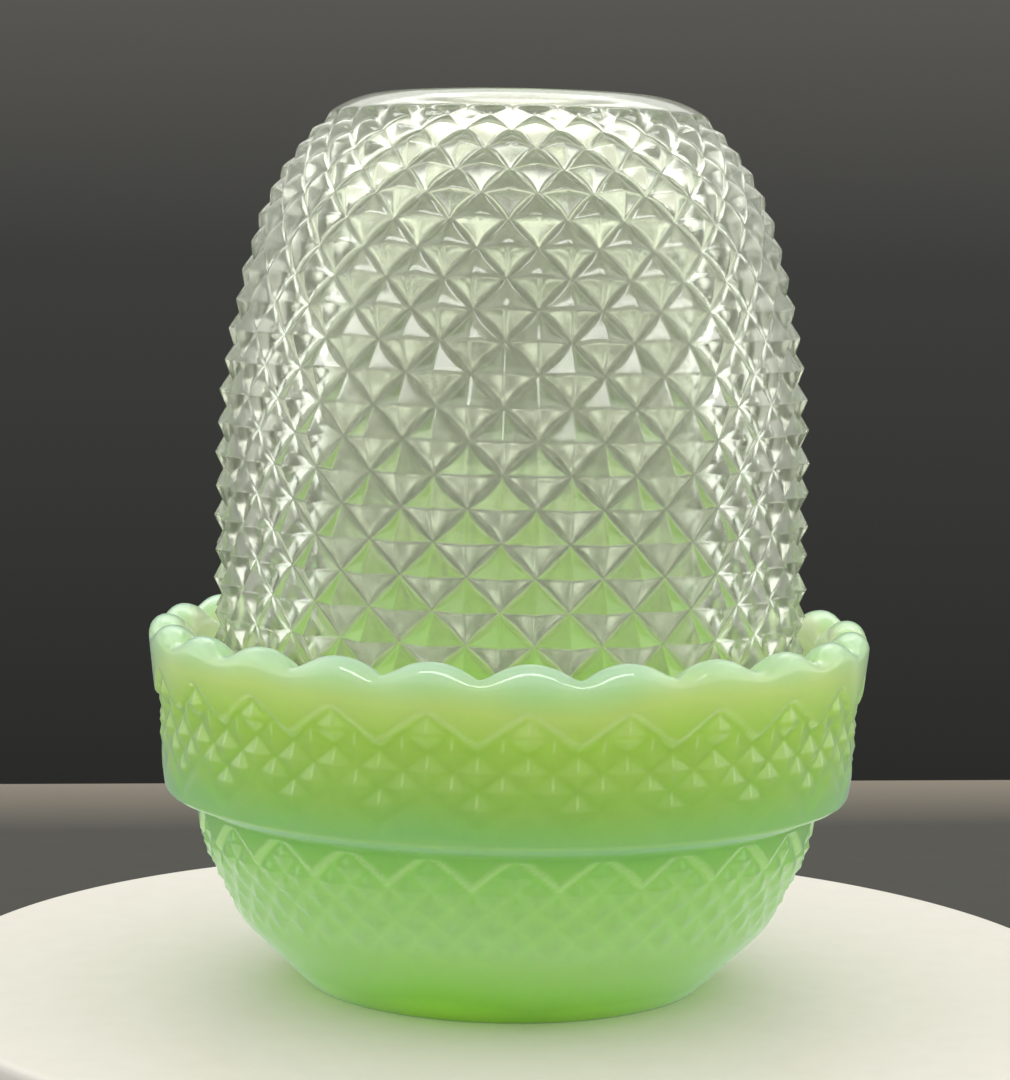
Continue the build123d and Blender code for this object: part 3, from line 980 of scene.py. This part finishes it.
def soft_lamp(name, place, target, size, power, colour):
    """A rectangular lamp aimed at a point."""
    data = bpy.data.lights.new(name, "AREA")
    data.shape = "RECTANGLE"
    data.size, data.size_y = size
    data.energy = power
    data.color = colour
    lamp = bpy.data.objects.new(name, data)
    lamp.location = place
    lamp.rotation_euler = (Vector(target) - Vector(place)).to_track_quat("-Z", "Y").to_euler()
    bpy.context.scene.collection.objects.link(lamp)
    return lamp


def make_world():
    """A dark backdrop round the horizon that turns into a soft bright ceiling."""
    world = bpy.data.worlds.new("studio")
    bpy.context.scene.world = world
    world.use_nodes = True
    nodes, links = world.node_tree.nodes, world.node_tree.links
    nodes.clear()
    output = nodes.new("ShaderNodeOutputWorld")
    light = nodes.new("ShaderNodeBackground")
    links.new(light.outputs["Background"], output.inputs["Surface"])
    split = nodes.new("ShaderNodeSeparateXYZ")
    links.new(nodes.new("ShaderNodeTexCoord").outputs["Generated"], split.inputs["Vector"])
    level = mapped(nodes, links, split.outputs["Z"], -1.0, 1.0, 0.0, 1.0)
    behind = mapped(nodes, links, split.outputs["Y"], BACKDROP_EDGE, BACKDROP_FULL, 0.0, 1.0)
    backdrop = ramp(nodes, links, level, BACKDROP_BY_HEIGHT)
    room = ramp(nodes, links, level, ROOM_BY_HEIGHT)
    links.new(mixed(nodes, links, behind, room, backdrop), light.inputs["Color"])
    light.inputs["Strength"].default_value = 1.0


def make_camera():
    """A little lower than the dome's top, looking a little down and hardly tilted."""
    pitch, roll = CAMERA_PITCH, CAMERA_ROLL
    forward = Vector((0, cos(pitch), -sin(pitch)))
    right = Vector((1, 0, 0))
    up = Vector((0, sin(pitch), cos(pitch)))
    x_axis = cos(roll) * right + sin(roll) * up
    y_axis = -sin(roll) * right + cos(roll) * up
    data = bpy.data.cameras.new("camera")
    data.lens = CAMERA_LENS
    data.sensor_width = CAMERA_SENSOR
    data.sensor_fit = "AUTO"
    data.clip_start = CAMERA_CLIP
    camera = bpy.data.objects.new("camera", data)
    camera.matrix_world = Matrix.Translation(Vector(CAMERA_PLACE) * MM) @ Matrix(
        (x_axis, y_axis, -forward)).transposed().to_4x4()
    bpy.context.scene.collection.objects.link(camera)
    bpy.context.scene.camera = camera


dome = make_dome()
dome.data.materials.append(clear_glass())
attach(dome, "dome")
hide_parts("glass_dome")

bowl = make_base()
bowl.data.materials.append(green_glass())
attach(bowl, "base")
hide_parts("base_bowl")

turntable = flat_disc("turntable", TURNTABLE_R, TURNTABLE_THICKNESS, TURNTABLE_CENTRE)
turntable.data.materials.append(pale_surface(
    "turntable_white", TURNTABLE_WHITE, TURNTABLE_WHITE_LIGHT, TURNTABLE_ROUGHNESS))
table = slab("table", (-TABLE_REACH, -TABLE_REACH, -TURNTABLE_THICKNESS - TABLE_THICKNESS),
             (TABLE_REACH, TABLE_FAR_EDGE / MM, -TURNTABLE_THICKNESS))
table.rotation_euler = (0, 0, TABLE_YAW)
table.data.materials.append(grey_table())

make_world()
for lamp in ROOM_LAMPS:
    soft_lamp(*lamp)
fill = soft_lamp(*FRONT_LAMP)
fill.visible_glossy = False
for lamp in STRIP_LAMPS:
    strip = soft_lamp(*lamp)
    strip.visible_transmission = False
    strip.visible_diffuse = False
make_camera()
bpy.context.scene.view_settings.view_transform = "Standard"
